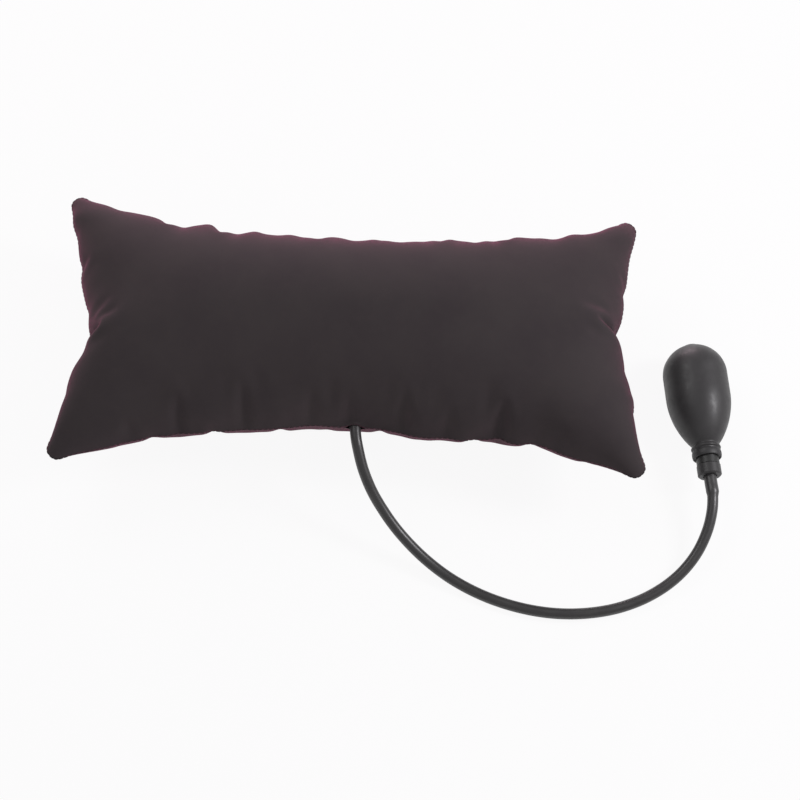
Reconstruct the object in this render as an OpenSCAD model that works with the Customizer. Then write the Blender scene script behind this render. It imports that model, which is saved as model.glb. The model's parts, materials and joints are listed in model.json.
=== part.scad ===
// Inflatable camp pillow: a sewn fabric cover over an air bladder, blown up through a hose
// by a hand squeeze bulb with check valves and a twist-to-release collar.
// The pillow's long side lies along X and its hose leaves the long edge that faces -Y.
// The origin is on the floor under the middle of the pillow.

/* [Pillow] */
// Length from corner to corner
corner_length = 421; // [400:1:440]
// Length at the middle, where the short ends bow in
mid_length = 387; // [370:1:395]
// Depth from corner to corner
corner_depth = 210; // [200:1:230]
// Depth at the middle, where the long edges bow in
mid_depth = 142; // [142:1:144]
// Thickness when blown up
thickness = 128; // [120:1:134]
// How far the resting weight flattens the underside
floor_press = 2; // [1:0.5:4]
// Thickness of the cover fabric
cover_wall = 1.2; // [0.8:0.1:2]
// Thickness of the bladder film
film_wall = 0.5; // [0.4:0.1:1]

/* [Hose] */
// Outside diameter of the hose
hose_od = 8; // [7:0.1:8]
// Bore of the hose
hose_id = 5; // [4.8:0.1:5]
// Outside diameter where the hose is stretched over a barb
hose_swell_od = 9.4; // [9:0.1:9.6]

/* [Pump] */
// Diameter of the squeeze bulb
bulb_d = 48; // [48:1:50]
// Thickness of the bulb's rubber wall
bulb_wall = 2.2; // [1.8:0.1:3]
// Length of the bulb's straight belly
belly_length = 17.8; // [10:0.1:20]
// Where the bulb's tapered shoulder ends, from the centre of its round end
shoulder_end = 57.3; // [55:0.1:58]
// Diameter of the bulb's neck
neck_d = 19.6; // [19:0.1:20]
// Diameter of the clamp ring on the neck
ring_d = 21.8; // [21:0.1:23]
// Diameter of the valve body's bare waist
waist_d = 16.8; // [16:0.1:17.4]
// Diameter of the release collar
collar_d = 17.6; // [17:0.1:19]
// Angle of the pump's axis, turned from -Y towards +X
pump_yaw = 6; // [4:1:8]

/* [Hidden] */
$fn = 64;
eps = 0.02;
// where the hose leaves the pillow, and where the centre of the bulb's round end lies
hose_exit_x = 7;
pump_x = 258.8;
pump_y = -5.3;

// ---- pillow ----
seam_z = thickness / 2;
grid_u = 28;
grid_v = 14;
cover_gap = 0.5;       // between the cover's inside and the bladder
film_inset = 14;       // bladder's outline inside the cover's
film_corner_inset = 30;
flange = 5;            // welded rim of the bladder
thread_d = 1;
thread_inset = 2.5;    // stitch line inside the cover's outline

// A panel's plan and rise: [corner half length, mid half length, corner half depth, mid half depth, rise]
function plan(inset, corner_inset, rise) = [
    corner_length / 2 - corner_inset,
    mid_length / 2 - inset,
    corner_depth / 2 - corner_inset,
    mid_depth / 2 - inset,
    rise
];
function half_length(p, v) = p[1] + (p[0] - p[1]) * v * v;
function half_depth(p, u) = p[3] + (p[2] - p[3]) * abs(u * u * u);
function lift(u, v) = sqrt(max(0, 1 - u * u * u * u)) * sqrt(max(0, 1 - v * v));
function u_at(i) = sin(180 * i / grid_u - 90);
function v_at(j) = sin(180 * j / grid_v - 90);
// A dome that rises from its rim at height z, pressed flat where it would pass the top height
function dome(p, z, top) = [
    for (i = [0:grid_u]) for (j = [0:grid_v]) [
        u_at(i) * half_length(p, v_at(j)),
        v_at(j) * half_depth(p, u_at(i)),
        min(top, z + p[4] * lift(u_at(i), v_at(j)))
    ]
];
function cell(i, j) = i * (grid_v + 1) + j;
rim = concat(
    [for (j = [0:grid_v - 1]) cell(0, j)],
    [for (i = [0:grid_u - 1]) cell(i, grid_v)],
    [for (j = [grid_v:-1:1]) cell(grid_u, j)],
    [for (i = [grid_u:-1:1]) cell(i, 0)]
);
function at_height(points, z) = [for (k = rim) [points[k][0], points[k][1], z]];
function reversed(face) = [for (k = [len(face) - 1:-1:0]) face[k]];
function turned(faces) = [for (face = faces) reversed(face)];
// The diagonals run away from the corners, so that no triangle lies in the plane of the rim
function grid_faces(first) = [
    for (i = [0:grid_u - 1]) for (j = [0:grid_v - 1]) for (half = [0, 1])
        let (a = first + cell(i, j), b = first + cell(i + 1, j))
        let (c = first + cell(i + 1, j + 1), d = first + cell(i, j + 1))
        (i < grid_u / 2) == (j < grid_v / 2)
            ? (half == 0 ? [a, d, c] : [a, c, b])
            : (half == 0 ? [a, d, b] : [d, c, b])
];
// Strips between one closed loop of point numbers and the next
function strip_faces(one, two) = [
    for (k = [0:len(one) - 1]) for (half = [0, 1])
        let (next = (k + 1) % len(one))
        half == 0 ? [one[k], one[next], two[next]] : [one[k], two[next], two[k]]
];
function numbered(first) = [for (k = [0:len(rim) - 1]) first + k];

// A shell between an outer and an inner dome, joined at the rim through any loops of points between
module dome_shell(outer, inner, between) {
    size = len(outer);
    loops = concat(
        [rim],
        [for (n = [0:len(between) - 1]) numbered(2 * size + n * len(rim))],
        [[for (k = rim) size + k]]
    );
    strips = [for (n = [0:len(loops) - 2]) each strip_faces(loops[n], loops[n + 1])];
    polyhedron(
        points = concat(outer, inner, [for (loop = between) each loop]),
        faces = concat(grid_faces(0), turned(grid_faces(size)), turned(strips))
    );
}

// The lower half is the upper one mirrored at the seam's height
module lower_half() {
    translate([0, 0, 2 * seam_z])
        mirror([0, 0, 1])
            children();
}

module cover_panel(rise) {
    difference() {
        dome_shell(
            dome(plan(0, 0, rise), seam_z, thickness),
            dome(plan(cover_wall, 2 * cover_wall, rise - cover_wall), seam_z, thickness - cover_wall),
            []
        );
        hose_hole(eyelet_neck_r + 0.3);
    }
}

// The hose leaves through a round gap in the seam
module hose_hole(radius) {
    translate([hose_exit_x, -mid_depth / 2 + 20, seam_z])
        rotate([90, 0, 0])
            rotate([0, 0, -90])
                cylinder(h = 40, r = radius);
}

eyelet_neck_r = hose_od / 2 + 1;

module cover_upper_panel() {
    color([0.22, 0.19, 0.2])
        cover_panel(thickness / 2);
}

module cover_lower_panel() {
    color([0.2, 0.17, 0.18])
        lower_half()
            cover_panel(thickness / 2 + floor_press);
}

// ---- sweeps ----
function unit(a) = a / norm(a);
// Direction of a route at one of its points
function heading(route, k) = unit(route[min(k + 1, len(route) - 1)] - route[max(k - 1, 0)]);
function loop_heading(route, k) =
    unit(route[(k + 1) % len(route)] - route[(k + len(route) - 1) % len(route)]);
function sideways(dir) = unit(cross(dir, abs(dir[2]) < 0.9 ? [0, 0, 1] : [1, 0, 0]));
function ring_points(centre, dir, radius, sides) =
    let (across = sideways(dir), above = cross(dir, across))
    [for (s = [0:sides - 1])
        centre + radius * (cos(360 * s / sides) * across + sin(360 * s / sides) * above)];
function tube_strip(first, second, sides) = [
    for (s = [0:sides - 1]) for (half = [0, 1])
        let (next = (s + 1) % sides)
        half == 0
            ? [first + s, first + next, second + next]
            : [first + s, second + next, second + s]
];

module seam_thread() {
    sides = 6;
    line = at_height(dome(plan(thread_inset, 2 * thread_inset, 1), seam_z, thickness), seam_z);
    count = len(line);
    color([0.12, 0.1, 0.11])
        difference() {
            polyhedron(
                points = [for (k = [0:count - 1])
                    each ring_points(line[k], loop_heading(line, k), thread_d / 2, sides)],
                faces = [for (k = [0:count - 1])
                    each turned(tube_strip(k * sides, ((k + 1) % count) * sides, sides))]
            );
            // the stitching stops on either side of the hose's exit
            hose_hole(eyelet_lip_r + 0.6);
        }
}

// ---- bladder ----
bladder_rise = thickness / 2 - cover_wall - cover_gap;
port_r = 3.2;

module bladder_film() {
    top = seam_z + bladder_rise;
    outer = dome(plan(film_inset, film_corner_inset, bladder_rise - film_wall), seam_z + film_wall, top);
    inner = dome(
        plan(film_inset + film_wall, film_corner_inset + film_wall, bladder_rise - film_wall),
        seam_z, top - film_wall
    );
    weld = dome(plan(film_inset - flange, film_corner_inset - flange, 1), seam_z, top);
    difference() {
        dome_shell(outer, inner, [at_height(weld, seam_z + film_wall), at_height(weld, seam_z)]);
        hose_hole(port_r + 0.1);
    }
}

module bladder_upper_film() {
    color([0.34, 0.35, 0.37])
        bladder_film();
}

module bladder_lower_film() {
    color([0.34, 0.35, 0.37])
        lower_half()
            bladder_film();
}

// ---- parts that stand on the hose's line through the seam, with local +Z towards -Y ----
hose_start_y = -64;
port_flange_r = 7;
port_flange_t = 1.6;
port_inside_y = -53;
port_barb_length = 9;
port_barb_r = hose_id / 2 - 0.15;
port_bore_r = 1.6;

module on_exit_line(y) {
    translate([hose_exit_x, y, seam_z])
        rotate([90, 0, 0])
            children();
}

module bladder_port() {
    neck = port_inside_y - hose_start_y - 0.2;
    color([0.1, 0.1, 0.1])
        on_exit_line(port_inside_y)
            difference() {
                union() {
                    cylinder(h = port_flange_t, r = port_flange_r);
                    cylinder(h = neck, r = port_r);
                    cylinder(h = neck + port_barb_length, r = port_barb_r);
                }
                translate([0, 0, -1])
                    cylinder(h = neck + port_barb_length + 2, r = port_bore_r);
            }
}

clip_width = 3;
clip_r = hose_od / 2 + 0.2;

module hose_port_clip() {
    color([0.6, 0.6, 0.62])
        on_exit_line(hose_start_y - 0.5)
            difference() {
                union() {
                    cylinder(h = clip_width, r = clip_r + 0.8);
                    // crimped ear
                    translate([-1.6, 0, 0])
                        cube([3.2, clip_r + 2.4, clip_width]);
                }
                translate([0, 0, -1])
                    cylinder(h = clip_width + 2, r = clip_r);
            }
}

eyelet_lip_r = 6.4;
eyelet_lip_t = 0.8;
eyelet_inner_lip_y = -mid_depth / 2 + cover_wall + 1.1;

module hose_exit_eyelet() {
    reach = cover_wall + 1.7;
    color([0.09, 0.08, 0.09])
        on_exit_line(eyelet_inner_lip_y)
            difference() {
                union() {
                    translate([0, 0, -eyelet_lip_t])
                        cylinder(h = eyelet_lip_t, r = eyelet_lip_r);
                    cylinder(h = reach, r = eyelet_neck_r);
                    translate([0, 0, reach - eps])
                        cylinder(h = eyelet_lip_t, r = eyelet_lip_r);
                }
                translate([0, 0, -2])
                    cylinder(h = reach + 4, r = hose_od / 2 + 0.2);
            }
}

// ---- hose: level out of the seam, down to the floor, round in one bow and up into the collar ----
pump_barb_end = 96;
pump_hose_end = 80.4;
function pump_point(t) = [pump_x + t * sin(pump_yaw), pump_y - t * cos(pump_yaw), bulb_d / 2];
hose_route = [
    [hose_exit_x, hose_start_y, seam_z], [hose_exit_x, hose_start_y - 4, seam_z],
    [7, -72.5, 64], [7.6, -80, 63.2], [9.3, -88.5, 60.7], [13.6, -102, 52.5], [20.1, -114.3, 42.3],
    [28.7, -125.4, 32.3], [38.7, -136.1, 23.4], [50.2, -146.4, 16.2], [62.8, -156.1, 10.7],
    [77.1, -165.4, 6.8], [91.9, -173.2, 4.7], [107.4, -179.8, 4.1], [123.6, -184.9, 4.1],
    [140.3, -188.3, 4.1], [157.3, -189.8, 4.1], [174.4, -189.2, 4.1], [191.4, -186.5, 4.1],
    [207.1, -181.8, 4.2], [222.6, -174.7, 4.7], [237.3, -165, 5.9], [249.4, -153.7, 8.3],
    [259, -140.5, 12.2], [265.4, -126, 17.2], [268.4, -112.5, 21.4],
    pump_point(pump_barb_end), pump_point(88), pump_point(pump_hose_end),
];
hose_sides = 10;
rings_per_leg = 2;
swell_legs = 2;        // how many of the last legs are stretched over the pump's barb
swell_id = 6.8;

// A Catmull-Rom curve through the route
function route_at(k) = hose_route[min(max(k, 0), len(hose_route) - 1)];
function along(k, t) = 0.5 * (
    2 * route_at(k)
    + (route_at(k + 1) - route_at(k - 1)) * t
    + (2 * route_at(k - 1) - 5 * route_at(k) + 4 * route_at(k + 1) - route_at(k + 2)) * t * t
    + (3 * route_at(k) - route_at(k - 1) - 3 * route_at(k + 1) + route_at(k + 2)) * t * t * t
);
legs = len(hose_route) - 1;
hose_line = concat(
    [for (k = [0:legs - 1]) for (s = [0:rings_per_leg - 1]) along(k, s / rings_per_leg)],
    [hose_route[legs]]
);
// 0 along the free hose, 1 over the barb
function swell(k) =
    let (t = min(1, max(0, k / rings_per_leg - (legs - swell_legs - 1))))
    t * t * (3 - 2 * t);
function mixed(a, b, t) = a + (b - a) * t;

module air_hose() {
    count = len(hose_line);
    // flats of the inner wall stay clear of the barbs
    to_flat = 1 / cos(180 / hose_sides);
    outer = [for (k = [0:count - 1]) each ring_points(
        hose_line[k], heading(hose_line, k),
        mixed(hose_od, hose_swell_od, swell(k)) / 2, hose_sides)];
    inner = [for (k = [0:count - 1]) each ring_points(
        hose_line[k], heading(hose_line, k),
        mixed(hose_id, swell_id, swell(k)) / 2 * to_flat, hose_sides)];
    size = len(outer);
    last = (count - 1) * hose_sides;
    color([0.16, 0.16, 0.17])
        polyhedron(
            points = concat(outer, inner),
            faces = concat(
                [for (k = [0:count - 2])
                    each turned(tube_strip(k * hose_sides, (k + 1) * hose_sides, hose_sides))],
                [for (k = [0:count - 2])
                    each tube_strip(
                        size + k * hose_sides, size + (k + 1) * hose_sides, hose_sides)],
                tube_strip(0, size, hose_sides),
                turned(tube_strip(last, size + last, hose_sides))
            )
        );
}

// ---- pump: every part turns about one axis, with local +Z from the bulb towards the hose ----
bulb_r = bulb_d / 2;
land_t = -(bulb_r - 1);      // flat land at the round end, for the inlet plug
neck_end = 67;
spigot_r = 7.2;
plug_r = 4.6;
boss_r = 7.5;
boss_end = -18;

module on_pump_axis() {
    translate([pump_x, pump_y, bulb_r])
        rotate([0, 0, pump_yaw])
            rotate([90, 0, 0])
                children();
}

function bezier(a, b, c, d, t) =
    pow(1 - t, 3) * a + 3 * t * pow(1 - t, 2) * b + 3 * t * t * (1 - t) * c + t * t * t * d;
// The bulb's outline from the edge of its land to its neck, as [radius, place]
function bulb_outline(inset) =
    let (r = bulb_r - inset, neck = neck_d / 2 - inset, start = asin(-land_t / bulb_r))
    concat(
        [for (a = [start:-start / 16:0.1]) [r * cos(a), -r * sin(a)]],
        [for (t = [0:1 / 20:1.001]) bezier(
            [r, belly_length], [r, belly_length + 16.5],
            [neck + 6.6, shoulder_end - 7.8 - inset / 2], [neck, shoulder_end - inset / 2], t)]
    );

module squeeze_bulb() {
    outer = bulb_outline(0);
    cavity = bulb_outline(bulb_wall);
    color([0.13, 0.13, 0.13])
        on_pump_axis()
            difference() {
                union() {
                    rotate_extrude()
                        polygon(concat([[0, land_t]], outer, [[0, shoulder_end]]));
                    cylinder(h = neck_end, r = neck_d / 2);
                }
                difference() {
                    rotate_extrude()
                        polygon(concat(
                            [[0, -(bulb_r - bulb_wall)]], cavity, [[0, shoulder_end - 1]]));
                    translate([0, 0, -bulb_r])
                        cylinder(h = bulb_r + boss_end, r = boss_r);
                }
                cylinder(h = neck_end + 1, r = spigot_r);
                translate([0, 0, -bulb_r - 1])
                    cylinder(h = bulb_r, r = plug_r);
            }
}

ring_start = 62.2;
ring_width = 5.6;

module neck_clamp_ring() {
    crown = (ring_d - neck_d) / 2;
    color([0.1, 0.1, 0.1])
        on_pump_axis()
            rotate_extrude()
                translate([neck_d / 2, ring_start])
                    polygon(concat(
                        [[0, 0]],
                        [for (a = [-80:20:80]) [
                            crown * (0.35 + 0.65 * cos(a)),
                            ring_width / 2 * (1 + sin(a))]],
                        [[0, ring_width]]
                    ));
}

// valve body
waist_end = 73.2;
stem_r = 6;
stem_end = pump_hose_end;
groove_r = 4.8;
groove_starts = [74.2, 77.9];
groove_width = 1.4;
rib_r = 6.4;
rib_start = 79.6;
vent_t = 76.75;
vent_r = 0.8;
barb_end = pump_barb_end;
barb_r = 2.9;
air_bore_r = 1.6;
seat_start = 51.5;
seat_end = 57;
seat_r = 4.2;
chamber_end = 59;
throat_r = 2.6;
disc_t = 0.8;
disc_lift = 1;

module valve_body() {
    color([0.12, 0.12, 0.12])
        on_pump_axis()
            difference() {
                union() {
                    translate([0, 0, seat_start])
                        cylinder(h = waist_end - seat_start, r = spigot_r);
                    translate([0, 0, neck_end])
                        cylinder(h = waist_end - neck_end, r = waist_d / 2);
                    translate([0, 0, waist_end - 1])
                        cylinder(h = stem_end - waist_end + 1, r = stem_r);
                    translate([0, 0, rib_start])
                        cylinder(h = stem_end - rib_start, r = rib_r);
                    translate([0, 0, stem_end - 1])
                        cylinder(h = barb_end - stem_end + 1, r = barb_r);
                    for (tip = [barb_end - 2.5, barb_end - 7])
                        translate([0, 0, tip])
                            cylinder(h = 2.5, r1 = barb_r + 0.25, r2 = barb_r - 0.2);
                }
                translate([0, 0, seat_start - 1])
                    cylinder(h = chamber_end - seat_start + 1, r = seat_r);
                translate([0, 0, chamber_end - 1])
                    cylinder(h = 8, r = throat_r);
                cylinder(h = barb_end + 1, r = air_bore_r);
                // slots that let air past the lifted disc
                for (turn = [0, 90])
                    rotate([0, 0, turn])
                        translate([-seat_r, -0.6, chamber_end - 0.5])
                            cube([2 * seat_r, 1.2, 1.7]);
                for (start = groove_starts)
                    translate([0, 0, start])
                        difference() {
                            cylinder(h = groove_width, r = stem_r + 1);
                            translate([0, 0, -1])
                                cylinder(h = groove_width + 2, r = groove_r);
                        }
                translate([0, 0, vent_t])
                    rotate([-90, 0, 0])
                        cylinder(h = stem_r + 1, r = vent_r);
            }
}

module outlet_seat() {
    color([0.75, 0.6, 0.35])
        on_pump_axis()
            translate([0, 0, seat_start])
                difference() {
                    cylinder(h = seat_end - seat_start, r = seat_r);
                    translate([0, 0, -1])
                        cylinder(h = seat_end - seat_start + 2, r = 1.8);
                    translate([0, 0, -eps])
                        cylinder(h = 1.2, r1 = 3, r2 = 1.8);
                }
}

module outlet_disc() {
    color([0.5, 0.12, 0.1])
        on_pump_axis()
            translate([0, 0, seat_end + eps])
                cylinder(h = disc_t, r = seat_r - 0.6);
}

module collar_seals() {
    seal_r = 0.6;
    color([0.05, 0.05, 0.05])
        on_pump_axis()
            for (start = groove_starts)
                translate([0, 0, start + groove_width / 2])
                    rotate_extrude()
                        translate([groove_r + seal_r, 0])
                            circle(r = seal_r, $fn = 24);
}

collar_start = 73.4;
collar_end = 82;
collar_bore_r = stem_r + 0.06;
collar_chamfer = 1;

module release_collar() {
    color([0.15, 0.15, 0.15])
        on_pump_axis()
            difference() {
                rotate_extrude()
                    polygon([
                        [collar_bore_r, collar_start],
                        [collar_d / 2 - 0.4, collar_start],
                        [collar_d / 2, collar_start + 0.5],
                        [collar_d / 2, collar_end - collar_chamfer],
                        [collar_d / 2 - collar_chamfer, collar_end],
                        [hose_swell_od / 2 + 0.5, collar_end],
                        [hose_swell_od / 2 + 0.5, stem_end + 0.3],
                        [rib_r + 0.1, stem_end + 0.3],
                        [rib_r + 0.1, rib_start - 0.15],
                        [collar_bore_r, rib_start - 0.15],
                    ]);
                translate([0, 0, vent_t])
                    rotate([0, 90, 0])
                        cylinder(h = collar_d, r = vent_r);
            }
}

// inlet valve in the bulb's round end
plug_inner_end = -15;
screen_t = 0.4;
screen_r = 3.4;
inlet_seat_t = -21;
inlet_chamber_r = 3.8;
inlet_bore_r = 1.5;
cage_start = inlet_seat_t + disc_t + disc_lift + 0.2;

module inlet_plug() {
    color([0.12, 0.12, 0.12])
        on_pump_axis()
            difference() {
                union() {
                    translate([0, 0, -bulb_r])
                        cylinder(h = bulb_r + land_t, r = 6.2);
                    translate([0, 0, -bulb_r + 0.5])
                        cylinder(h = bulb_r - 0.5 + plug_inner_end, r = plug_r);
                }
                translate([0, 0, -bulb_r - 1])
                    cylinder(h = 1 + screen_t, r = screen_r);
                translate([0, 0, -bulb_r])
                    cylinder(h = bulb_r, r = inlet_bore_r);
                translate([0, 0, inlet_seat_t])
                    cylinder(h = bulb_r, r = inlet_chamber_r);
            }
}

module inlet_screen() {
    color([0.7, 0.7, 0.72])
        on_pump_axis()
            translate([0, 0, -bulb_r])
                difference() {
                    cylinder(h = screen_t, r = screen_r);
                    for (ring = [0:2])
                        for (hole = [0:max(0, 6 * ring - 1)])
                            rotate([0, 0, 60 * hole / max(1, ring)])
                                translate([1.05 * ring, 0, -1])
                                    cylinder(h = 2, r = 0.3, $fn = 16);
                }
}

module inlet_disc() {
    color([0.5, 0.12, 0.1])
        on_pump_axis()
            translate([0, 0, inlet_seat_t + eps])
                cylinder(h = disc_t, r = inlet_chamber_r - 0.6);
}

module inlet_cage() {
    color([0.85, 0.85, 0.82])
        on_pump_axis()
            translate([0, 0, cage_start])
                difference() {
                    cylinder(h = plug_inner_end - cage_start - 0.4, r = inlet_chamber_r);
                    translate([0, 0, -1])
                        cylinder(h = bulb_r, r = 2);
                    for (turn = [0, 90])
                        rotate([0, 0, turn])
                            translate([-inlet_chamber_r, -0.6, -eps])
                                cube([2 * inlet_chamber_r, 1.2, 1.2]);
                }
}

cover_upper_panel();
cover_lower_panel();
seam_thread();
hose_exit_eyelet();
bladder_upper_film();
bladder_lower_film();
bladder_port();
hose_port_clip();
air_hose();
squeeze_bulb();
neck_clamp_ring();
valve_body();
outlet_seat();
outlet_disc();
collar_seals();
release_collar();
inlet_plug();
inlet_screen();
inlet_disc();
inlet_cage();
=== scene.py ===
"""Inflatable camp pillow with a hand pump: the looks that go over its CAD frame."""
import json
import math

import bpy
import numpy as np
from mathutils import Matrix, Vector


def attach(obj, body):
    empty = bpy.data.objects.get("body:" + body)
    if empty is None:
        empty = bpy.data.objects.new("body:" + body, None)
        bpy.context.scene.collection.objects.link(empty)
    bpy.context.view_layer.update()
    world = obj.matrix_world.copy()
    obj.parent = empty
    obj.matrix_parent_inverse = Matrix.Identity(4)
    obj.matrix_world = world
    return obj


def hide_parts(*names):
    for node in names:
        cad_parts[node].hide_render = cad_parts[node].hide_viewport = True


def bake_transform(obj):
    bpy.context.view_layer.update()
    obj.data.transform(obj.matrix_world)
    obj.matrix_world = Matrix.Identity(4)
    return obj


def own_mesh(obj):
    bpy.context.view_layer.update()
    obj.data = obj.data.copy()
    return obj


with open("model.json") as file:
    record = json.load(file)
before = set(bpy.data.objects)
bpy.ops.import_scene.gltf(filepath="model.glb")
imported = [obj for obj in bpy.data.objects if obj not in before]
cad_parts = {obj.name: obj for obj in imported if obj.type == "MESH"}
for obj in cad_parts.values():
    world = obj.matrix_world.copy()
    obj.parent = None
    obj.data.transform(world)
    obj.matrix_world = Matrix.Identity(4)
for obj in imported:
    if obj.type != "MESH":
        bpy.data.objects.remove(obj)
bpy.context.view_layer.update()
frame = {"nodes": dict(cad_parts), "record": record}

joints = {j["name"]: j for j in frame["record"]["behaviour"]["joints"]}
MM = 0.001

# ---- camera: from the near side and well above, as the pillow lies on the ground ----
CAMERA_ELEVATION = math.radians(65)
CAMERA_TURN = math.radians(2.2)
CAMERA_DISTANCE = 1.386
CAMERA_TARGET = Vector((0.0373, -0.0226, 0))
LENS_MM = 81.8

camera_data = bpy.data.cameras.new("camera")
camera_data.lens = LENS_MM
camera_data.clip_start = 0.01
camera = bpy.data.objects.new("camera", camera_data)
camera.rotation_euler = (math.pi / 2 - CAMERA_ELEVATION, 0, CAMERA_TURN)
from_target = camera.rotation_euler.to_matrix() @ Vector((0, 0, CAMERA_DISTANCE))
camera.location = CAMERA_TARGET + from_target
bpy.context.collection.objects.link(camera)
bpy.context.scene.camera = camera

# ---- frame of the pump: its Z runs from the bulb to the hose ----
twist = joints["release_twist"]
pump_axis = Vector(twist["axis"]).normalized()
pump_side = pump_axis.cross(Vector((0, 0, 1))).normalized()
PUMP = Matrix.Translation(Vector(twist["pos_m"])) @ Matrix(
    (pump_side, pump_axis.cross(pump_side), pump_axis)
).transposed().to_4x4()

# ---- where the hose leaves the seam, and the seam's height ----
SEAM_Z = 64 * MM
HOSE_EXIT = Vector((7, -71, 64)) * MM


# ---- mesh helpers ----
def mesh_object(name, points, faces, material, uv=None):
    """A smooth-shaded mesh piece. uv gives each point's place on its surface."""
    mesh = bpy.data.meshes.new(name)
    mesh.from_pydata([tuple(p) for p in points], [], faces)
    mesh.update()
    mesh.polygons.foreach_set("use_smooth", [True] * len(mesh.polygons))
    mesh.materials.append(material)
    if uv is not None:
        layer = mesh.uv_layers.new(name="cut")
        corners = np.zeros(len(mesh.loops), dtype=np.int32)
        mesh.loops.foreach_get("vertex_index", corners)
        layer.data.foreach_set("uv", np.asarray(uv, np.float32)[corners].ravel())
    obj = bpy.data.objects.new(name, mesh)
    bpy.context.collection.objects.link(obj)
    return obj


def ring_faces(first, second, sides):
    """Quads between two rings of points that start at these numbers."""
    return [
        (first + s, first + (s + 1) % sides, second + (s + 1) % sides, second + s)
        for s in range(sides)
    ]


LINE_WIDTH = math.radians(0.7)      # half width of a mould line
LINE_ANGLES = np.radians((-1.8, -1, -0.5, 0, 0.5, 1, 1.8))      # extra columns of points carry it
LINE_ROOM = math.sin(math.radians(2.4))                         # no even column stands closer


def lathe(name, outline, material, sides=96, parting=0.0, stand=PUMP):
    """A solid turned on the stand's Z from a closed outline of (radius, height).

    Two mould lines run along it on opposite sides, and stand parting proud.
    """
    even = np.linspace(0, 2 * np.pi, sides, endpoint=False)
    even = even[np.abs(np.sin(even)) > LINE_ROOM]
    angles = np.sort(np.concatenate([even, LINE_ANGLES % (2 * np.pi), LINE_ANGLES + np.pi]))
    ridge = parting * np.exp(-(np.arcsin(np.sin(angles)) / LINE_WIDTH) ** 2)
    points = [
        stand @ Vector(((r + h) * math.cos(a), (r + h) * math.sin(a), z))
        for r, z in outline for a, h in zip(angles, ridge)
    ]
    n, rings = len(angles), len(outline)
    faces = [f for k in range(rings) for f in ring_faces(k * n, (k + 1) % rings * n, n)]
    return mesh_object(name, points, faces, material)


def smooth_route(points, steps):
    """A Catmull-Rom line through the points."""
    p = np.array([points[0], *points, points[-1]], float)
    line = []
    for a, b, c, d in zip(p, p[1:], p[2:], p[3:]):
        for t in np.arange(steps) / steps:
            line.append(0.5 * (2 * b + (c - a) * t + (2 * a - 5 * b + 4 * c - d) * t**2
                               + (3 * b - a - 3 * c + d) * t**3))
    return np.array([*line, p[-1]])


def tube_mesh(line, radii, sides):
    """Points, faces and surface places (angle, distance) of a closed round tube that doesn't twist."""
    line = np.asarray(line, float)
    along = np.gradient(line, axis=0)
    along /= np.linalg.norm(along, axis=1)[:, None]
    across = np.cross(along[0], (0, 0, 1))
    angles = np.linspace(0, 2 * np.pi, sides, endpoint=False)
    gone = np.concatenate([[0], np.cumsum(np.linalg.norm(np.diff(line, axis=0), axis=1))])
    points, uv = [], []
    for centre, ahead, radius, s in zip(line, along, radii, gone):
        across = across - ahead * (across @ ahead)
        across /= np.linalg.norm(across)
        up = np.cross(ahead, across)
        points += [centre + radius * (math.cos(a) * across + math.sin(a) * up) for a in angles]
        uv += [(a, s) for a in angles]
    faces = [f for k in range(len(line) - 1) for f in ring_faces(k * sides, (k + 1) * sides, sides)]
    faces += [tuple(range(sides))[::-1], tuple(range(len(points) - sides, len(points)))]
    return points, faces, uv


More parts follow.
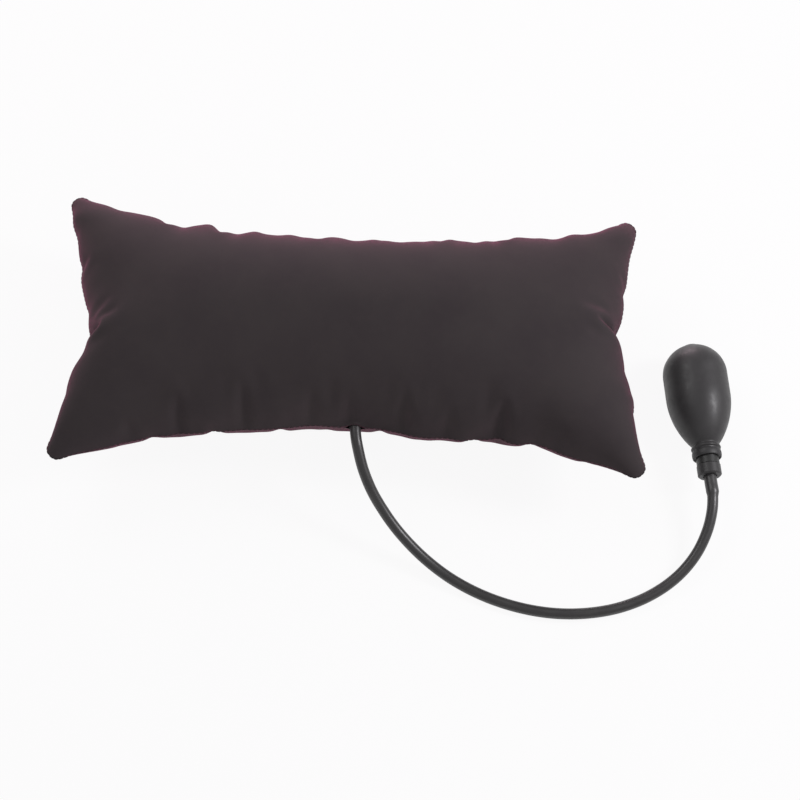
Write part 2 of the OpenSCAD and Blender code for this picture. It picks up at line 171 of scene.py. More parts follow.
# ---- materials ----
class Look:
    """A principled material and the nodes that vary it."""

    def __init__(self, name, color, roughness, **sockets):
        self.material = bpy.data.materials.new(name)
        self.material.use_nodes = True
        self.tree = self.material.node_tree
        self.shader = self.tree.nodes["Principled BSDF"]
        self.color = (*color, 1)
        self.shader.inputs["Base Color"].default_value = self.color
        self.shader.inputs["Roughness"].default_value = roughness
        for socket, value in sockets.items():
            self.shader.inputs[socket.replace("_", " ")].default_value = value
        self.place = self.node("ShaderNodeTexCoord").outputs["Object"]

    def node(self, kind, inputs=(), **settings):
        made = self.tree.nodes.new(kind)
        for key, value in settings.items():
            setattr(made, key, value)
        for key, value in dict(inputs).items():
            if isinstance(value, bpy.types.NodeSocket):
                self.tree.links.new(value, made.inputs[key])
            else:
                made.inputs[key].default_value = value
        return made

    def on_cut(self):
        """Works from the surface places that the mesh carries, in place of the object's own frame."""
        self.place = self.node("ShaderNodeUVMap", uv_map="cut").outputs["UV"]
        return self

    def math(self, operation, a, b=0.0):
        return self.node("ShaderNodeMath", {0: a, 1: b}, operation=operation).outputs[0]

    def spread(self, value, low, high, new_low, new_high):
        return self.node("ShaderNodeMapRange", {
            "Value": value, "From Min": low, "From Max": high, "To Min": new_low, "To Max": new_high,
        }).outputs["Result"]

    def noise(self, size, detail=3.0, stretch=(1, 1, 1)):
        """Cloudy noise whose patches are about this size, in metres."""
        scaled = self.node("ShaderNodeVectorMath", {0: self.place, 1: stretch}, operation="MULTIPLY")
        return self.node("ShaderNodeTexNoise", {
            "Vector": scaled.outputs["Vector"], "Scale": 1 / size, "Detail": detail,
        }).outputs["Fac"]

    def mottle(self, factor, color, low=0.4, high=0.7, most=1.0):
        """Mixes another colour in where the factor is high."""
        share = self.spread(factor, low, high, 0, most)
        mix = self.node("ShaderNodeMix", {"Factor": share}, data_type="RGBA")
        socket = self.shader.inputs["Base Color"]
        if socket.links:
            self.tree.links.new(socket.links[0].from_socket, mix.inputs["A"])
        else:
            mix.inputs["A"].default_value = self.color
        mix.inputs["B"].default_value = (*color, 1)
        self.tree.links.new(mix.outputs["Result"], socket)
        return self

    def rough(self, factor, low, high):
        """Lets the roughness follow the factor."""
        self.tree.links.new(self.spread(factor, 0.3, 0.7, low, high), self.shader.inputs["Roughness"])
        return self

    def bump(self, height, distance, strength=1.0):
        """Adds relief of this depth, in metres, over any that is there already."""
        made = self.node(
            "ShaderNodeBump", {"Height": height, "Distance": distance, "Strength": strength})
        socket = self.shader.inputs["Normal"]
        if socket.links:
            self.tree.links.new(socket.links[0].from_socket, made.inputs["Normal"])
        self.tree.links.new(made.outputs["Normal"], socket)
        return self


def grained(name, color, worn, roughness, grain=0.4 * MM, depth=0.02 * MM, patch=14 * MM, **sockets):
    """Moulded rubber or plastic: a fine grain, and paler patches where it is handled."""
    look = Look(name, color, roughness, **sockets)
    look.mottle(look.noise(patch), worn, 0.45, 0.75, 0.7)
    look.rough(look.noise(patch / 3), roughness - 0.06, roughness + 0.08)
    look.bump(look.noise(grain, 2.0), depth)
    return look.material


def turned_metal(name, color, roughness):
    """Turned or stamped metal: fine tool lines and duller patches."""
    look = Look(name, color, roughness, Metallic=1.0)
    lines = look.noise(0.3 * MM, 2.0, (1, 8, 1))
    look.rough(lines, roughness - 0.08, roughness + 0.12)
    look.mottle(look.noise(3 * MM), tuple(0.7 * c for c in color), 0.5, 0.8, 0.6)
    look.bump(lines, 0.005 * MM)
    return look.material


WEAVE_PITCH = 0.75 * MM


def cover_cloth():
    """Fine brushed cloth: a plain weave, fuzz, faint clouds and a plum sheen at a grazing angle."""
    look = Look(
        "cover_cloth", (0.040, 0.0325, 0.0345), 0.85, Specular_IOR_Level=0.18,
        Sheen_Weight=0.24, Sheen_Roughness=0.32, Sheen_Tint=(1.0, 0.1, 0.38, 1),
    ).on_cut()
    parts = look.node("ShaderNodeSeparateXYZ", {0: look.place})
    threads = [
        look.math("SINE", look.math("MULTIPLY", parts.outputs[axis], 2 * math.pi / WEAVE_PITCH))
        for axis in ("X", "Y")
    ]
    weave = look.math("MULTIPLY", *threads)
    fuzz = look.noise(0.5 * MM, 4.0)
    look.mottle(look.noise(45 * MM), (0.034, 0.027, 0.030), 0.4, 0.7, 0.8)
    look.mottle(look.noise(7 * MM, 4.0), (0.046, 0.036, 0.038), 0.5, 0.8, 0.3)
    look.mottle(fuzz, (0.058, 0.050, 0.052), 0.58, 0.75, 0.35)
    look.rough(fuzz, 0.8, 0.95)
    look.bump(look.noise(2.6 * MM, 3.0, (1, 0.6, 1)), 0.12 * MM, 0.5)
    look.bump(weave, 0.035 * MM, 0.8)
    look.bump(fuzz, 0.05 * MM, 0.6)
    return look.material


def hose_rubber():
    """Extruded rubber: fine lines along its length, and a satin skin.

    The hose's surface places are angle and distance, so a stretch in Y draws the noise out along it.
    """
    look = Look("hose_skin", (0.029, 0.027, 0.028), 0.38, Specular_IOR_Level=0.6).on_cut()
    look.mottle(look.noise(0.6, 3.0, (1, 30, 1)), (0.044, 0.043, 0.042), 0.45, 0.75, 0.8)
    look.rough(look.noise(0.5, 3.0, (1, 60, 1)), 0.33, 0.43)
    look.bump(look.noise(0.12, 3.0, (1, 4, 1)), 0.008 * MM, 0.6)
    return look.material


def stitching():
    look = Look("thread_twist", (0.012, 0.010, 0.011), 0.8, Sheen_Weight=0.1)
    look.bump(look.noise(0.25 * MM, 2.0), 0.03 * MM)
    look.mottle(look.noise(2 * MM), (0.03, 0.025, 0.027))
    return look.material


fabric = cover_cloth()
hose_skin = hose_rubber()
thread = stitching()
bulb_skin = grained(
    "bulb_skin", (0.037, 0.035, 0.0365), (0.046, 0.044, 0.0455), 0.43, grain=0.5 * MM, depth=0.01 * MM,
    Specular_IOR_Level=0.32)
ring_skin = grained("ring_skin", (0.020, 0.019, 0.0205), (0.028, 0.0265, 0.028), 0.5, patch=6 * MM)
eyelet_skin = grained(
    "eyelet_skin", (0.018, 0.015, 0.016), (0.024, 0.020, 0.021), 0.8, patch=5 * MM,
    Specular_IOR_Level=0.15)
film = grained(
    "film", (0.085, 0.09, 0.1), (0.11, 0.115, 0.12), 0.35, grain=3 * MM, depth=0.1 * MM, patch=40 * MM)

# the CAD nodes that keep their shape
node_looks = {
    "bladder_port": grained(
        "port_plastic", (0.012, 0.012, 0.012), (0.02, 0.02, 0.02), 0.45, patch=6 * MM),
    "hose_port_clip": turned_metal("clip_metal", (0.56, 0.56, 0.58), 0.32),
    "valve_body": grained(
        "valve_plastic", (0.017, 0.017, 0.017), (0.026, 0.026, 0.025), 0.42,
        grain=0.25 * MM, depth=0.01 * MM, patch=7 * MM),
    "outlet_seat": turned_metal("seat_metal", (0.66, 0.5, 0.24), 0.3),
    "outlet_disc": grained(
        "outlet_disc_skin", (0.17, 0.012, 0.008), (0.22, 0.03, 0.02), 0.55, patch=3 * MM),
    "collar_seals": grained(
        "seal_skin", (0.006, 0.006, 0.006), (0.01, 0.01, 0.01), 0.25, patch=3 * MM),
    "release_collar": grained(
        "collar_plastic", (0.026, 0.0245, 0.0255), (0.036, 0.034, 0.0355), 0.45,
        grain=0.3 * MM, depth=0.015 * MM, patch=5 * MM),
    "inlet_plug": grained(
        "plug_plastic", (0.016, 0.016, 0.016), (0.026, 0.026, 0.025), 0.42,
        grain=0.25 * MM, depth=0.01 * MM, patch=5 * MM),
    "inlet_screen": turned_metal("screen_metal", (0.6, 0.6, 0.62), 0.3),
    "inlet_disc": grained(
        "inlet_disc_skin", (0.17, 0.012, 0.008), (0.22, 0.03, 0.02), 0.55, patch=3 * MM),
    "inlet_cage": grained(
        "cage_plastic", (0.6, 0.59, 0.53), (0.66, 0.65, 0.6), 0.4,
        grain=0.25 * MM, depth=0.01 * MM, patch=3 * MM),
}
for node, material in node_looks.items():
    obj = frame["nodes"][node]
    if not obj.material_slots:
        obj.data.materials.append(material)
    for holder in obj.material_slots:
        holder.material = material

# ---- hose: out of the seam's middle, down to the floor, and in one bow to the pump ----
HOSE_D = 8 * MM
HOSE_SWELL_D = 9.4 * MM                         # where it is stretched over the valve body's barb
HOSE_SIDES, HOSE_STEPS = 32, 6                  # points round it, and points for each of its route's
BARB_TIP, BARB_MIDDLE, BARB_ROOT = 96 * MM, 88 * MM, 80.4 * MM      # on the pump's axis
SWELL_TAPER = 3 * MM                            # the length that it swells over
route_mm = [
    (7, -64, 64), (7, -68, 64), (7, -72.5, 64), (7.6, -80, 63.2), (9.3, -88.5, 60.7),
    (13.6, -102, 52.5), (20.1, -114.3, 42.3), (28.7, -125.4, 32.3), (38.7, -136.1, 23.4),
    (50.2, -146.4, 16.2), (62.8, -156.1, 10.7), (77.1, -165.4, 6.8), (91.9, -173.2, 4.7),
    (107.4, -179.8, 4.1), (123.6, -184.9, 4.1), (140.3, -188.3, 4.1), (157.3, -189.8, 4.1),
    (174.4, -189.2, 4.1), (191.4, -186.5, 4.1), (207.1, -181.8, 4.2), (222.6, -174.7, 4.7),
    (237.3, -165, 5.9), (249.4, -153.7, 8.3), (259, -140.5, 12.2), (265.4, -126, 17.2),
    (268.4, -112.5, 21.4),
]
route = [Vector(p) * MM for p in route_mm]
route += [PUMP @ Vector((0, 0, t)) for t in (BARB_TIP, BARB_MIDDLE, BARB_ROOT)]

hose_line = smooth_route(route, HOSE_STEPS)
to_end = np.cumsum(np.linalg.norm(np.diff(hose_line[::-1], axis=0), axis=1))[::-1]
to_end = np.append(to_end, 0)
swell = np.clip((BARB_TIP - BARB_ROOT + SWELL_TAPER / 2 - to_end) / SWELL_TAPER, 0, 1)
swell = swell * swell * (3 - 2 * swell)
hose_radii = (HOSE_D + (HOSE_SWELL_D - HOSE_D) * swell) / 2
points, faces, uv = tube_mesh(hose_line, hose_radii, HOSE_SIDES)
hose = mesh_object("hose", points, faces, hose_skin, uv)
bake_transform(hose)
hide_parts("air_hose")


# ---- bulb: a round end, a short belly, a long shoulder, a lip and the neck ----
# outlines are (radius, height) in mm, in the pump's frame
def bezier(points, steps):
    """A cubic curve with these four control points."""
    p = np.array(points, float)
    t = np.linspace(0, 1, steps)[:, None]
    return (1 - t)**3 * p[0] + 3 * t * (1 - t)**2 * p[1] + 3 * t**2 * (1 - t) * p[2] + t**3 * p[3]


def in_metres(outline):
    return [(r * MM, t * MM) for r, t in outline]


BULB_R, BULB_WALL, NECK_R = 24, 2.2, 9.8
LAND_T = -23.5                      # the flat that the inlet plug sits on
PLUG_R, SPIGOT_R = 4.6, 7.2         # the inlet plug's hole, and the valve body's end in the neck
WALL_ENDS = 54                      # where the hollow ends and the neck begins
CURVE_STEPS = 24
round_end = [
    (BULB_R * math.cos(a), BULB_R * math.sin(a))
    for a in np.linspace(math.asin(LAND_T / BULB_R), 0, CURVE_STEPS)
]
belly = [(BULB_R, t) for t in (4, 9, 14)]
shoulder = bezier(((BULB_R, 17.8), (BULB_R, 34.3), (16.4, 49.5), (NECK_R, 57.3)), CURVE_STEPS)
outside = np.array([*round_end, *belly, *shoulder])
inwards = np.gradient(outside, axis=0)
inwards = np.stack((-inwards[:, 1], inwards[:, 0]), 1) / np.linalg.norm(inwards, axis=1)[:, None]
hollow = outside + BULB_WALL * inwards
hollow = hollow[(hollow[:, 0] > SPIGOT_R + 0.1) & (hollow[:, 1] < WALL_ENDS)]
lip = [
    (9.75, 57.9), (9.85, 58.4), (10.3, 58.7), (10.8, 59.2), (11, 59.8), (10.9, 60.4), (10.5, 60.8),
    (9.9, 61), (9.75, 61.3), (9.75, 66.5), (9.65, 66.85), (9.3, 67), (7.4, 67), (SPIGOT_R, 66.8),
    (SPIGOT_R, 55),
]
plug_hole = [(PLUG_R + 0.1, -18.6), (PLUG_R, -18.8), (PLUG_R, -23.3), (PLUG_R + 0.1, LAND_T)]
bulb_outline = in_metres([*outside, *lip, *hollow[::-1], *plug_hole])
bulb = lathe("bulb", bulb_outline, bulb_skin, parting=0.1 * MM)
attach(bulb, "pillow_base")
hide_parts("squeeze_bulb")

# ---- clamp ring round the bulb's neck ----
RING_BORE_R, RING_FOOT_R, RING_HIGH = 9.78, 9.8, 1.1
RING_MIDDLE, RING_HALF = 65, 2.8
RING_FULLNESS = 0.6                 # 1 is a round section, and less is a squarer one
crown = [
    (RING_FOOT_R + RING_HIGH * max(math.cos(a), 0) ** RING_FULLNESS,
     RING_MIDDLE + RING_HALF * math.sin(a))
    for a in np.linspace(-math.pi / 2, math.pi / 2, 21)
]
ring_outline = in_metres([
    (RING_BORE_R, RING_MIDDLE - RING_HALF), *crown, (RING_BORE_R, RING_MIDDLE + RING_HALF)])
ring = lathe("clamp_ring", ring_outline, ring_skin, parting=0.08 * MM)
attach(ring, "pillow_base")
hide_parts("neck_clamp_ring")

# ---- cover: two flat panels, sewn round their edges and blown up ----
PANEL = np.array((433, 215)) * MM           # what each panel is cut to
PANEL_CORNER_R = 9 * MM
COVER_SIZE = np.array((421, 210, 130)) * MM     # blown up, before it is eased to how it is laid
FABRIC_T = 0.4 * MM

# the seams as the camera sees them: the axis across each, and its side of the pillow
FAR, NEAR, LEFT, RIGHT = (1, 1), (1, -1), (0, -1), (0, 1)

# place along the seam and depth in mm, and the lean of the crease
TUCKS = {
    FAR: (
        (-178, 2, 0.3), (-135, 4.9, 0.2), (-88, 4.9, -0.2), (-62, 3, 0.1), (-34, 4.6, 0.15),
        (2, 4.8, -0.1), (31, 3.6, 0.2), (62, 2.4, 0), (94, 4.6, -0.2), (128, 2.8, 0.1),
        (155, 4.2, -0.3), (182, 2, -0.2)),
    NEAR: (
        (-160, 1, 0.2), (-117, 1.5, 0.3), (-76, 1, -0.1), (-44, 1.2, 0.2), (-20, 0.9, 0),
        (51, 1.1, -0.2), (74, 1, 0.1), (100, 1.4, -0.1), (145, 1.2, -0.3)),
    LEFT: ((46, 2.2, -0.2), (8, 1.4, 0), (-31, 7, 0), (-64, 1.3, 0.2)),
    RIGHT: ((42, 2.2, -0.2), (6, 6, 0), (-32, 1.4, 0.2), (-60, 1.3, 0.2)),
}
DEEP_TUCK, DEEP_TUCK_GROWS = 5, 1.6         # a tuck deeper than this is also wider and longer
TUCK_HOLLOW = 0.8                           # the fabric beside a tuck sinks by this share of it
SEAM_STIFF = 3 * MM                         # but not this close to the seam
FIRST_RISE = 20 * MM                        # how far the panels start from flat
SEED_WIDTH, SEED_REACH = 7 * MM, 22 * MM    # of a tuck as it is set before the fabric settles
SHEAR = 0.2                                 # the share of its error that a diagonal gives back

# place along the seam, how far the edge swells out there, and its half width, in mm
SCALLOPS = {
    FAR: (
        (-179, 2.9, 19), (-152, 1.9, 12), (-126, -2.2, 5), (-107, 4.6, 9), (-86, -2.4, 6),
        (-73, 2.2, 5), (-48, 1.2, 7), (-30, -0.7, 5), (-13, 1.8, 7), (4, -2.1, 7), (32, -2.6, 8),
        (48, -1.1, 7), (68, 1.9, 5), (90, -2.1, 6), (104, -1.9, 5), (121, 1.6, 9), (148, -2.1, 9),
        (170, -2.1, 7)),
    NEAR: (
        (-172, 2.4, 24), (-104, 0.8, 20), (-26, -1.8, 14), (54, 3, 14), (82, 1.7, 12),
        (108, -2.2, 10), (138, -3.2, 13), (167, 1, 9)),
    LEFT: ((84, 2.6, 9), (-14, -1.5, 7)),
    RIGHT: ((83, 1.3, 9), (0, 2, 8), (-50, 2, 12)),
}
SCALLOP_REACH = 46 * MM                     # from the seam over the panels


def cut_grid(nu, nv):
    """The flat panel's points: a rectangle whose corners are rounded."""
    lines = [np.linspace(-size / 2, size / 2, n + 1) for size, n in zip(PANEL, (nu, nv))]
    flat = np.stack(np.meshgrid(*lines, indexing="ij"), -1)
    past = np.clip((np.abs(flat) - PANEL / 2 + PANEL_CORNER_R) / PANEL_CORNER_R, 0, 1)
    rounded = past * np.sqrt(1 - past[..., ::-1] ** 2 / 2)
    return flat + np.sign(flat) * PANEL_CORNER_R * (rounded - past)


def pull(a, b, rest, share):
    """Threads between two sets of points return towards their rest length."""
    d = b - a
    size = np.sqrt(np.einsum("...k,...k", d, d))
    d *= (0.5 * share * (1 - rest / np.maximum(size, 1e-9)))[..., None]
    a += d
    b -= d


def straighten(a, middle, b, share):
    """Fabric that is bent between two points straightens a little."""
    d = (0.5 * (a + b) - middle) * share
    middle += d
    d *= 0.5
    a -= d
    b -= d


def sew(p):
    """Holds the two panels together all along their edges."""
    for edge in (p[:, 0], p[:, -1], p[:, :, 0], p[:, :, -1]):
        edge[:] = edge.mean(0)


def settle(p, rest, shear, bend):
    """One round of pulling the fabric's threads and diagonals back to length."""
    along, across, rising, falling = rest
    for o in (0, 1):
        pull(p[:, o:-1:2], p[:, o + 1::2], along[o::2], 1)
        pull(p[:, :, o:-1:2], p[:, :, o + 1::2], across[:, o::2], 1)
    sew(p)
    for o in (0, 1):
        pull(p[:, o:-1:2, :-1], p[:, o + 1::2, 1:], rising[o::2], shear)
        pull(p[:, o:-1:2, 1:], p[:, o + 1::2, :-1], falling[o::2], shear)
    for o in range(3):
        n = (p.shape[1] - o) // 3 * 3 + o
        straighten(p[:, o:n:3], p[:, o + 1:n:3], p[:, o + 2:n:3], bend)
        n = (p.shape[2] - o) // 3 * 3 + o
        straighten(p[:, :, o:n:3], p[:, :, o + 1:n:3], p[:, :, o + 2:n:3], bend)
    sew(p)


def outward(x):
    """The way out at each point, longer where the fabric there covers more."""
    du, dv = np.zeros_like(x), np.zeros_like(x)
    du[:, 1:-1] = x[:, 2:] - x[:, :-2]
    dv[:, :, 1:-1] = x[:, :, 2:] - x[:, :, :-2]
    n = np.cross(du, dv)
    n /= np.linalg.norm(n[:, 1:-1, 1:-1], axis=-1).mean()
    n[1] *= -1
    return n


def finer(x, nu, nv):
    """The same panels on a grid of nu by nv cells."""
    for axis, n in ((1, nu), (2, nv)):
        cells = x.shape[axis] - 1
        t = np.linspace(0, cells, n + 1)
        i = np.minimum(t.astype(int), cells - 1)
        f = (t - i).reshape([-1 if k == axis else 1 for k in range(4)])
        x = np.take(x, i, axis) * (1 - f) + np.take(x, i + 1, axis) * f
    return x


def tuck(x, flat, scale, width, reach, seams=(FAR, NEAR, LEFT, RIGHT)):
    """Draws the seams in, and the fabric beside them down, where the sewing has gathered it."""
    for axis, side in seams:
        to_seam = PANEL[axis] / 2 - side * flat[..., axis]
        for place, depth, lean in TUCKS[axis, side]:
            along = flat[..., 1 - axis] - place * MM - lean * to_seam
            grow = DEEP_TUCK_GROWS if depth > DEEP_TUCK else 1
            fade = np.exp(-(along / (grow * width)) ** 2 - (to_seam / (grow * reach)) ** 2)
            amount = scale * depth * MM * fade
            x[..., axis] -= side * amount
            sunk = TUCK_HOLLOW * amount * (1 - np.exp(-(to_seam / SEAM_STIFF) ** 2))
            x[0, ..., 2] -= sunk
            x[1, ..., 2] += sunk


def inflate(passes, seed=3, noise=0.3 * MM, gather=0.02, gather_reach=8 * MM, swing=0.97):
    """Both panels, upper first, as (panel, along, across, xyz), blown up on finer and finer grids.

    gather is how much shorter the seam draws the fabric beside it, and swing how much of its
    speed a point keeps from one round to the next.
    """
    rng = np.random.default_rng(seed)
    x = None
    for nu, nv, rounds, pressure, bend, tucked in passes:
        flat = cut_grid(nu, nv)
        if x is None:
            ends = 1 - (2 * flat / PANEL) ** 2
            rise = FIRST_RISE * np.sqrt(np.maximum(ends[..., 0] * ends[..., 1], 0))
            x = np.stack([np.dstack((flat, side * rise)) for side in (1, -1)])
        else:
            x = finer(x, nu, nv)
        x[:, 1:-1, 1:-1] += rng.normal(0, noise, (2, nu - 1, nv - 1, 3))
        tuck(x, flat, tucked, max(SEED_WIDTH, PANEL[0] / nu), SEED_REACH)
        inset = np.min(PANEL / 2 - np.abs(flat), -1)
        full = 1 - gather * np.exp(-(inset / gather_reach) ** 2)
        rest = (
            np.linalg.norm(flat[1:] - flat[:-1], axis=-1) * full[1:],
            np.linalg.norm(flat[:, 1:] - flat[:, :-1], axis=-1) * full[:, 1:],
            np.linalg.norm(flat[1:, 1:] - flat[:-1, :-1], axis=-1),
            np.linalg.norm(flat[1:, :-1] - flat[:-1, 1:], axis=-1),
        )
        speed = np.zeros_like(x)
        for _ in range(rounds):
            p = x + swing * speed + pressure * outward(x)
            sew(p)
            for _ in range(3):
                settle(p, rest, SHEAR, bend)
            speed = p - x
            x = p
    return x, flat


# cells along and across, rounds, pressure, stiffness and how deep the tucks are set
passes = [
    (36, 18, 400, 5e-5, 0.02, 1.5),
    (72, 36, 400, 1.2e-5, 0.01, 1),
    (144, 72, 250, 3e-6, 0.003, 0.5),
]
shape, flat = inflate(passes)
shape *= COVER_SIZE / np.ptp(shape, axis=(0, 1, 2))

# ---- cover: as it is laid down, a few mm from the even shape ----
END_EASE = {-1: 11, 1: 12.3}        # how far each short end's middle comes out, in mm
END_REACH = 0.3                     # the share of the half length that this fades over
END_DENT_IN, END_DENT_Y, END_DENT_REACH = 5.5, 3, 24      # a soft hollow in the left end, in mm
CORNER_SHIFT = {                    # (end, edge): (x, y) in mm
    (-1, 1): (-7.6, 3.3), (-1, -1): (-0.6, -4.6), (1, -1): (3.4, -2.3), (1, 1): (-1, -1.4),
}
FAR_EDGE_IN, NEAR_EDGE_OUT = 4 * MM, 2.5 * MM
EXIT_HOLDS = 45 * MM                # the hose holds the near edge over this half length
NEAR_RIDGE, NEAR_RIDGE_WIDTH = 3.5 * MM, 9 * MM     # how the near seam stands out from the panels

ends, edges = flat[..., 0] / (PANEL[0] / 2), flat[..., 1] / (PANEL[1] / 2)
for side, out in END_EASE.items():
    near_end = np.exp(-((1 - side * ends) / END_REACH) ** 2)
    shape[..., 0] += side * out * MM * near_end * (1 - edges**2)
off_dent = (flat[..., 1] / MM - END_DENT_Y) / END_DENT_REACH
shape[..., 0] += END_DENT_IN * MM * np.exp(-((1 + ends) / END_REACH) ** 2 - off_dent**2)
for (end, edge), shift in CORNER_SHIFT.items():
    there = np.clip(end * ends, 0, 1) ** 2 * np.clip(edge * edges, 0, 1)
    shape[..., :2] += np.array(shift) * MM * there[..., None]
shape[..., 1] -= FAR_EDGE_IN * (1 - ends**2) * np.clip(edges, 0, 1) ** 2
past_exit = 1 - np.exp(-((flat[..., 0] - HOSE_EXIT.x) / EXIT_HOLDS) ** 2)
shape[..., 1] -= NEAR_EDGE_OUT * (1 - ends**2) * past_exit * np.clip(-edges, 0, 1) ** 2
to_near_seam = flat[..., 1] + PANEL[1] / 2
shape[..., 1] -= NEAR_RIDGE * (1 - ends**4) * np.exp(-to_near_seam / NEAR_RIDGE_WIDTH)

tuck(shape, flat, 0.9, 5 * MM, 15 * MM, (FAR, LEFT, RIGHT))
tuck(shape, flat, 0.35, 5 * MM, 15 * MM, (NEAR,))
tuck(shape, flat, 0.6, 8 * MM, 28 * MM, (FAR,))
for (axis, side), scallops in SCALLOPS.items():
    to_seam = PANEL[axis] / 2 - side * flat[..., axis]
    for place, out, width in scallops:
        along = (shape[..., 1 - axis] - place * MM) / (width * MM)
        shape[..., axis] += side * out * MM * np.exp(-along**2 - (to_seam / SCALLOP_REACH) ** 4)

# nothing goes below the floor
FLOOR_ROUNDS = 0.5 * MM
shape[..., 2] += SEAM_Z
shape[..., 2] = 0.5 * (shape[..., 2] + np.hypot(shape[..., 2], FLOOR_ROUNDS))

# ---- cover: the near seam opens round the hose and its eyelet ----
SEAM_AT_EXIT_Y = -75.5 * MM
EXIT_R, EYELET_ROOM_R = 5.2 * MM, 7.2 * MM      # the opening for the hose, and the room behind it
EXIT_LIP = 2.5 * MM                             # how far in the opening has widened to that room
ROOM_REACH = 9 * MM                             # how far in the room closes again
EXIT_DRAWS_X, EXIT_DRAWS_Y = 18 * MM, 20 * MM   # the fabric that comes with the seam
off_exit = shape[..., 0] - HOSE_EXIT.x
exit_column = np.abs(off_exit[0, :, 0]).argmin()
drawn = np.exp(-(off_exit / EXIT_DRAWS_X) ** 2 - (to_near_seam / EXIT_DRAWS_Y) ** 2)
shape[..., 1] += (SEAM_AT_EXIT_Y - shape[0, exit_column, 0, 1]) * drawn
room = EXIT_R + (EYELET_ROOM_R - EXIT_R) * np.clip(to_near_seam / EXIT_LIP, 0, 1)
lift = np.sqrt(np.maximum(room**2 - off_exit**2, 0)) * np.exp(-(to_near_seam / ROOM_REACH) ** 2)
for layer, side in enumerate((1, -1)):
    height = shape[layer, ..., 2] - SEAM_Z
    opened = side * np.hypot(height, lift[layer])
    shape[layer, ..., 2] = SEAM_Z + np.where(lift[layer] > 0, opened, height)


def grid_quads(nu, nv, flip):
    """The faces of a grid of nu by nv cells, turned over for a panel that looks down."""
    quads = [
        (i * (nv + 1) + j, (i + 1) * (nv + 1) + j, (i + 1) * (nv + 1) + j + 1, i * (nv + 1) + j + 1)
        for i in range(nu) for j in range(nv)
    ]
    return [q[::-1] for q in quads] if flip else quads


def lets_down(piece):
    """Attaches the piece to the pillow's base, with a mesh of its own."""
    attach(piece, "pillow_base")
    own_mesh(piece)


def skin(name, points, places, material, flip, thickness):
    """A smooth sheet of this thickness from a grid of points, attached to the pillow's base."""
    nu, nv = points.shape[0] - 1, points.shape[1] - 1
    piece = mesh_object(
        name, points.reshape(-1, 3), grid_quads(nu, nv, flip), material, places.reshape(-1, 2))
    subsurf = piece.modifiers.new("smooth", "SUBSURF")
    subsurf.levels = subsurf.render_levels = 1
    solidify = piece.modifiers.new("thickness", "SOLIDIFY")
    solidify.thickness = thickness
    solidify.offset = -1
    lets_down(piece)
    return piece


for layer, side in enumerate(("upper", "lower")):
    panel = skin(f"cover_{side}", shape[layer], flat, fabric, layer == 1, FABRIC_T)
    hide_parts(f"cover_{side}_panel")

# ---- eyelet: a soft rubber spool in the seam, round the hose ----
EYELET_INNER_Y = -68.1 * MM
EYELET_LONG, EYELET_BORE_R, EYELET_NECK_R, EYELET_LIP_R = 4.3, 4.2, 5, 6.4      # in mm
spool = [
    (EYELET_BORE_R, 0), (EYELET_LIP_R - 0.1, 0), (EYELET_LIP_R, 0.15), (EYELET_LIP_R, 0.65),
    (EYELET_LIP_R - 0.1, 0.8), (EYELET_NECK_R, 0.9),
]
spool += [(r, EYELET_LONG - t) for r, t in spool[::-1]]
at_exit = Matrix.Translation((HOSE_EXIT.x, EYELET_INNER_Y, SEAM_Z))
out_of_seam = at_exit @ Matrix.Rotation(math.pi / 2, 4, "X")
eyelet = lathe("exit_eyelet", in_metres(spool), eyelet_skin, sides=64, stand=out_of_seam)
lets_down(eyelet)
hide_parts("hose_exit_eyelet")

# ---- bladder: two films inside the cover ----
FILM_SHARE = np.array((0.93, 0.88, 0.95))       # of the cover's size
FILM_STEP = 3                                   # every third point of the cover's grid
FILM_T = 0.3 * MM
for layer, side in enumerate(("upper", "lower")):
    inner = shape[layer, ::FILM_STEP, ::FILM_STEP].copy()
    inner[..., 2] -= SEAM_Z
    inner *= FILM_SHARE
    inner[..., 2] += SEAM_Z
    places = flat[::FILM_STEP, ::FILM_STEP]
    blown = skin(f"bladder_{side}", inner, places, film, layer == 1, FILM_T)
    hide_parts(f"bladder_{side}_film")

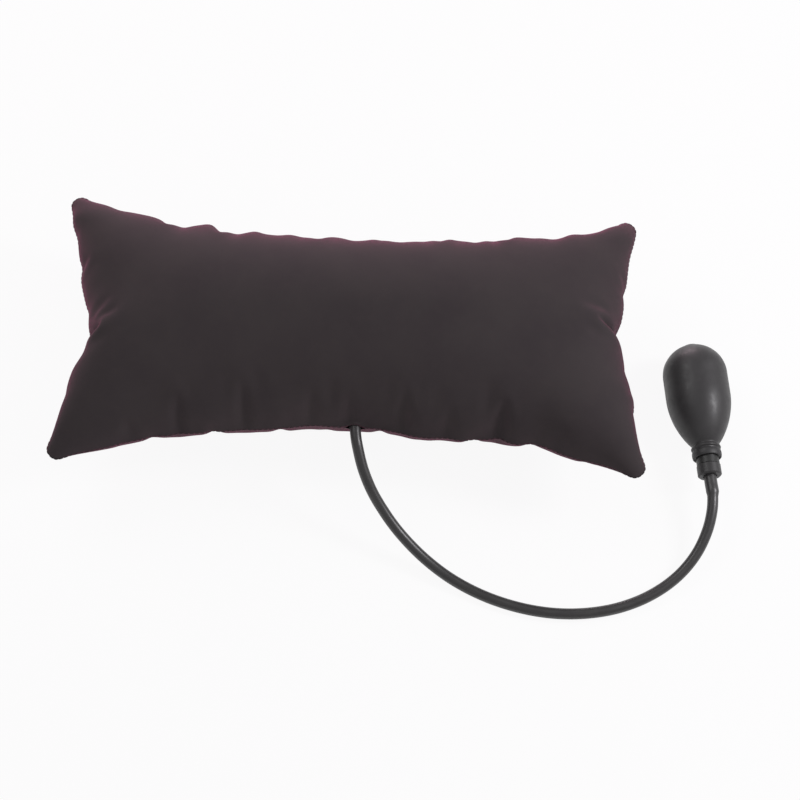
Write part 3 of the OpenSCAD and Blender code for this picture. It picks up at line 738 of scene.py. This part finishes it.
# ---- seam: a line of stitches in the groove between the panels ----
STITCH, STITCH_GAP, STITCH_R = 3.1 * MM, 0.7 * MM, 0.3 * MM
STITCH_PLACES = np.array((0, 0.06, 0.3, 0.5, 0.7, 0.94, 1))         # along a stitch
STITCH_RADII = STITCH_R * np.array((0.3, 0.75, 1, 1, 1, 0.75, 0.3))     # there
EXIT_UNSEWN = 8 * MM                # the seam is open this far to each side of the hose
border = np.concatenate([
    shape[0, :-1, 0], shape[0, -1, :-1], shape[0, :0:-1, -1], shape[0, 0, :0:-1]])
border = (np.roll(border, 1, 0) + 6 * border + np.roll(border, -1, 0)) / 8
gone = np.concatenate([[0], np.cumsum(np.linalg.norm(np.roll(border, -1, 0) - border, axis=1))])
border = np.vstack((border, border[:1]))
points, faces = [], []
for start in np.arange(0, gone[-1] - STITCH, STITCH + STITCH_GAP):
    places = start + STITCH * STITCH_PLACES
    line = np.stack([np.interp(places, gone, border[:, k]) for k in range(3)], 1)
    middle = line[3]
    if abs(middle[0] - HOSE_EXIT.x) < EXIT_UNSEWN and middle[1] < 0:
        continue
    more, more_faces, _ = tube_mesh(line, STITCH_RADII, sides=6)
    faces += [tuple(v + len(points) for v in f) for f in more_faces]
    points += more
stitches = mesh_object("seam_stitches", points, faces, thread)
lets_down(stitches)
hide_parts("seam_thread")

# ---- floor and light ----
FLOOR_HALF = 20
FLOOR_GREY = 0.055      # dark, so that it takes little shadow, and glowing, so that it is near white
FLOOR_GLOW = 0.925
WORLD_GLOW = 0.42
floor_look = Look(
    "floor", (FLOOR_GREY,) * 3, 0.9, Specular_IOR_Level=0.0,
    Emission_Color=(1, 0.996, 1, 1), Emission_Strength=FLOOR_GLOW)
corners = [(x * FLOOR_HALF, y * FLOOR_HALF, 0) for x, y in ((-1, -1), (1, -1), (1, 1), (-1, 1))]
floor = mesh_object("floor", corners, [(0, 1, 2, 3)], floor_look.material)
world = bpy.data.worlds.new("world")
bpy.context.scene.world = world
world.use_nodes = True
background = world.node_tree.nodes["Background"]
background.inputs["Color"].default_value = (1, 1, 1, 1)
background.inputs["Strength"].default_value = WORLD_GLOW


def softbox(name, place, aim, size, watts, color=(1, 1, 1)):
    """A rectangular light at place that faces aim."""
    data = bpy.data.lights.new(name, "AREA")
    data.shape = "RECTANGLE"
    data.size, data.size_y = size
    data.energy = watts
    data.color = color
    lamp = bpy.data.objects.new(name, data)
    lamp.location = place
    lamp.rotation_euler = (Vector(aim) - Vector(place)).to_track_quat("-Z", "Y").to_euler()
    bpy.context.collection.objects.link(lamp)


softbox("key_light", (-0.6, 0.5, 1.1), (0, 0, 0.05), (0.8, 0.5), 4.6)
softbox("back_light", (-0.25, 1.25, 0.2), (-0.1, 0, 0.08), (1.1, 0.2), 9.8, (1, 0.8, 0.88))
softbox("side_light", (1.0, 0.02, 0.78), (0.27, -0.01, 0.03), (0.24, 0.36), 8.5, (0.98, 0.97, 1))
bpy.context.scene.view_settings.view_transform = "Standard"
